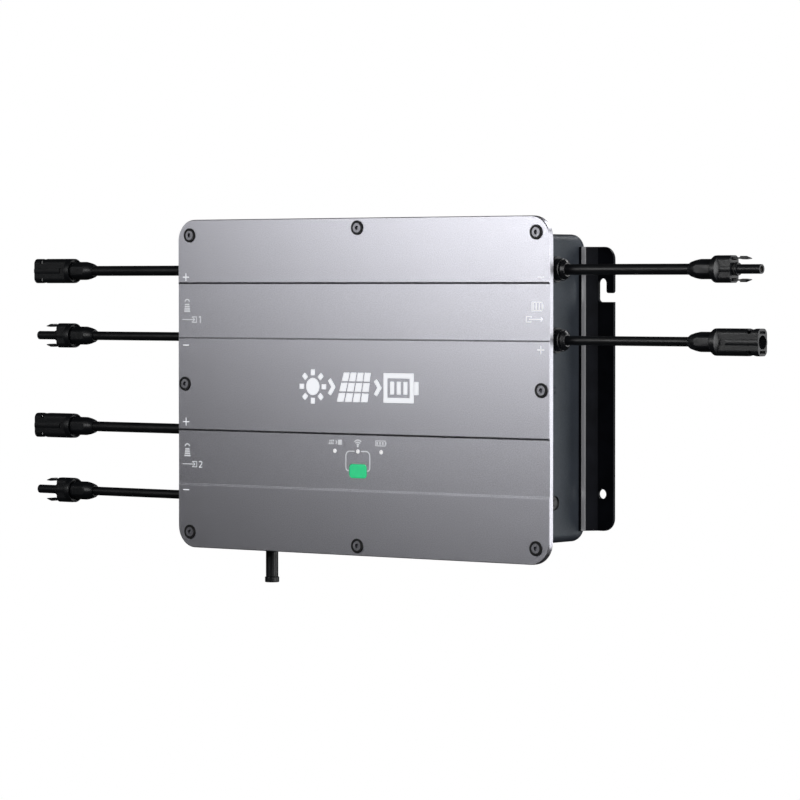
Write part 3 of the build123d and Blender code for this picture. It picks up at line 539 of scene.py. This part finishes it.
def port(ink, x, z, outward, stroke=0.6):
    """An arrow into or out of an open box, starting at x."""
    box_w, half, length, head = 4.2, 2.0, 14.0, 1.4
    start, end = (x, x + length - box_w * 0.45) if not outward else (x + box_w * 0.55, x + length)
    ink.line([(start, z), (end, z)], stroke)
    ink.line([(end - head, z + head), (end, z), (end - head, z - head)], stroke)
    far = x + length if not outward else x
    near = far - box_w if not outward else far + box_w
    for s in (-1, 1):
        ink.line([(near, z + s * half * 0.6), (near, z + s * half), (far, z + s * half), (far, z)], stroke)


def input_label(ink, z, digit):
    """An arc over a panel, and below them an input port with its number."""
    x, port_z = -163.6, z - 9.4
    panel(ink, x, z - 0.6, 9.4, 6.6, columns=1, rows=4, gap=0.34, lean=0, narrow=0.34)
    ink.arc(x, z + 3.4, 2.3, 15, 165, 0.9)
    port(ink, -168.4, port_z, False)
    numeral(ink, -150.6, port_z, digit)


def output_label(ink, z):
    """A battery, and below it an output port."""
    battery(ink, 160.6, z + 1.4, 9.4, 6.8, 0.6, fill=0.5)
    port(ink, 151.4, z - 7.6, True)


def light_loop(ink, led_z):
    """The open loop that ties the middle light to the button: its right and left halves."""
    half, corner, low_corner, stroke, led_gap = 11.1, 3.4, 2.6, 0.8, 3.0
    top, bottom, button_half = led_z + 0.1, led_z - 14.2, 8.6
    upper_steps, lower_steps = 8, 5
    for side in (-1, 1):
        path = [(side * led_gap, top), (side * (half - corner), top)]
        for k in range(1, upper_steps):
            a = math.radians(90 * k / upper_steps)
            path.append((side * (half - corner + corner * math.sin(a)), top - corner + corner * math.cos(a)))
        path += [(side * half, top - corner), (side * half, bottom + low_corner)]
        for k in range(1, lower_steps + 1):
            a = math.radians(60 * k / lower_steps)
            path.append((side * (half - low_corner + low_corner * math.cos(a)),
                         bottom + low_corner - low_corner * math.sin(a)))
        path.append((side * button_half, path[-1][1] - 0.35))
        ink.line(path, stroke)


def light_labels(ink, pitch, z):
    """Small signs over the three lights: a panel feeding a box, a radio wave, and a battery."""
    panel(ink, -pitch - 3.2, z, 5.2, 3.8, columns=3, rows=2, gap=0.3)
    chevron(ink, -pitch + 1.4, z, 1.3, 0.8)
    ink.bar(-pitch + 3.0, z - 1.8, -pitch + 6.6, z + 1.8)
    for r in (1.5, 3.0, 4.5):
        ink.arc(0, z - 2.6, r, 45, 135, 0.9)
    ink.disc(0, z - 2.5, 0.8)
    battery(ink, pitch - 0.6, z, 9.4, 4.2, 0.6, fill=0.6)


def make_emblem():
    """Sun to panel to battery, in a row across the middle of the face."""
    emblem = Ink("generic_emblem_print", FACE_Y, BRIGHT_INK)
    sun(emblem, -41.6, EMBLEM_Z, 25.0)
    chevron(emblem, -24.2, EMBLEM_Z, 5.4, 3.2)
    panel(emblem, -2.4, EMBLEM_Z, 30.0, 22.6, gap=0.17)
    chevron(emblem, 18.6, EMBLEM_Z, 5.4, 3.2)
    battery(emblem, 38.0, EMBLEM_Z, 27.6, 21.4, 3.6)
    emblem.done()


def make_signs():
    """A plus or a minus beside each lead."""
    signs = Ink("polarity_print", FACE_Y, BRIGHT_INK)
    for z, plus in ((80.0, True), (29.0, False), (-28.6, True), (-79.8, False)):
        sign(signs, SIGN_X_LEFT, z, plus)
    for z, plus in ((79.6, False), (28.5, True)):
        sign(signs, SIGN_X_RIGHT, z, plus)
    signs.done()


def make_band_labels():
    """The labels in the cover's two recessed bands."""
    upper = Ink("upper_input_print", RECESS_Y, PALE_INK)
    input_label(upper, UPPER_LABEL_Z, 1)
    upper.done()
    output = Ink("output_print", RECESS_Y, BRIGHT_INK)
    output_label(output, UPPER_LABEL_Z)
    output.done()
    lower = Ink("lower_port_print", RECESS_Y, PALE_INK)
    input_label(lower, LOWER_LABEL_Z, 2)
    light_loop(lower, LIGHTS_Z)
    light_labels(lower, LIGHTS_PITCH, LIGHTS_Z + 6.4)
    lower.done()


make_emblem()
make_signs()
make_band_labels()

# ---- Materials on the CAD pieces that stay as they are ----
for node_name, node_object in frame["nodes"].items():
    if not node_object.hide_render:
        node_object.data.materials.clear()
        node_object.data.materials.append(MATERIALS[SLOT_OF[node_name]])


# ---- Studio ----
FACE_SEES = Vector((-0.613, -0.79, 0))  # the way the camera's sight leaves the cover's face
SIDE_SEES = Vector((0.616, 0.788, 0))  # the way it leaves the right-hand sides
FLOOR_DROP, FLOOR_R = 0.35, 9


def area_light(name, place, aim, size, power):
    """A rectangular lamp in metres and watts, turned towards aim."""
    data = bpy.data.lights.new(name, "AREA")
    data.shape = "RECTANGLE"
    data.size, data.size_y = size
    data.energy = power
    light = bpy.data.objects.new(name, data)
    light.location = place
    light.rotation_mode = "QUATERNION"
    light.rotation_quaternion = (Vector(aim) - Vector(place)).to_track_quat("-Z", "Y")
    scene.collection.objects.link(light)


def floor_material():
    """White like the background, with a little shading under the object that fades out with distance."""
    pale = bpy.data.materials.new("pale_floor")
    pale.use_nodes = True
    nodes, links = pale.node_tree.nodes, pale.node_tree.links
    nodes.clear()
    output = nodes.new("ShaderNodeOutputMaterial")
    emit = nodes.new("ShaderNodeEmission")
    emit.inputs["Color"].default_value = (1, 1, 1, 1)
    matte = nodes.new("ShaderNodeBsdfDiffuse")
    matte.inputs["Color"].default_value = (0.8, 0.8, 0.8, 1)
    coords = nodes.new("ShaderNodeTexCoord")
    distance = nodes.new("ShaderNodeVectorMath")
    distance.operation = "LENGTH"
    links.new(coords.outputs["Object"], distance.inputs[0])
    fade = nodes.new("ShaderNodeMapRange")
    fade.interpolation_type = "SMOOTHSTEP"
    for name, number in (("From Min", 0.3), ("From Max", 1.6), ("To Min", 0.03), ("To Max", 0.0)):
        fade.inputs[name].default_value = number
    links.new(distance.outputs["Value"], fade.inputs["Value"])
    blend = nodes.new("ShaderNodeMixShader")
    links.new(fade.outputs["Result"], blend.inputs["Fac"])
    links.new(emit.outputs["Emission"], blend.inputs[1])
    links.new(matte.outputs["BSDF"], blend.inputs[2])
    links.new(blend.outputs["Shader"], output.inputs["Surface"])
    return pale


def make_lights():
    """Soft front lights that the cover mirrors, and side lights for the box, the brackets and the rims."""
    centre = Vector((0, FACE_Y, MID_Z))
    mirror = FACE_SEES * 1.2
    across, up = Vector((0.79, -0.613, 0)), Vector((0, 0, 1))
    area_light("front_key", centre + mirror + across * 0.4 + up * 0.3, centre, (0.45, 0.45), 2.80)
    area_light("front_soft", centre + mirror + across * 0.1 + up * 0.3, centre, (0.45, 0.45), 1.29)
    area_light("front_high", centre + mirror + across * 0.1 + up * 1.3, centre, (0.45, 0.45), 0.22)
    side = Vector((0.165, -0.03, MID_Z))
    area_light("side_strip", side + SIDE_SEES * 1.4, side, (0.5, 1.2), 4.8)
    area_light("right_side", side + Vector((1.4, 0, 0.2)), side, (0.6, 1.2), 13.6)
    area_light("left_view_fill", centre + Vector((1.2, -0.9, 0.35)), centre, (0.7, 0.7), 5.0)
    area_light("top_back", side + Vector((0.15, 0.79, 0.6)) * 1.4, side, (0.6, 0.3), 3.5)


def make_world():
    """White to the camera, and nearly dark as a light."""
    world = bpy.data.worlds.new("studio_world")
    scene.world = world
    world.use_nodes = True
    tree = world.node_tree
    tree.nodes.clear()
    out = tree.nodes.new("ShaderNodeOutputWorld")
    mix = tree.nodes.new("ShaderNodeMixShader")
    path = tree.nodes.new("ShaderNodeLightPath")
    dim, bright = tree.nodes.new("ShaderNodeBackground"), tree.nodes.new("ShaderNodeBackground")
    for background, strength in ((dim, 0.012), (bright, 1.0)):
        background.inputs["Color"].default_value = (1, 1, 1, 1)
        background.inputs["Strength"].default_value = strength
    tree.links.new(path.outputs["Is Camera Ray"], mix.inputs["Fac"])
    tree.links.new(dim.outputs["Background"], mix.inputs[1])
    tree.links.new(bright.outputs["Background"], mix.inputs[2])
    tree.links.new(mix.outputs["Shader"], out.inputs["Surface"])


def make_floor():
    """A round pale floor below the object, which lights and mirrors nothing."""
    place = (0, 0, cad_low.z - FLOOR_DROP)
    bpy.ops.mesh.primitive_circle_add(vertices=96, radius=FLOOR_R, fill_type="NGON", location=place)
    floor = bpy.context.object
    floor.name = "studio_floor"
    floor.data.materials.append(floor_material())
    floor.visible_glossy = False
    floor.visible_shadow = False
    floor.visible_diffuse = False


make_lights()
make_world()
make_floor()
scene.view_settings.view_transform = "Standard"
scene.view_settings.look = "None"
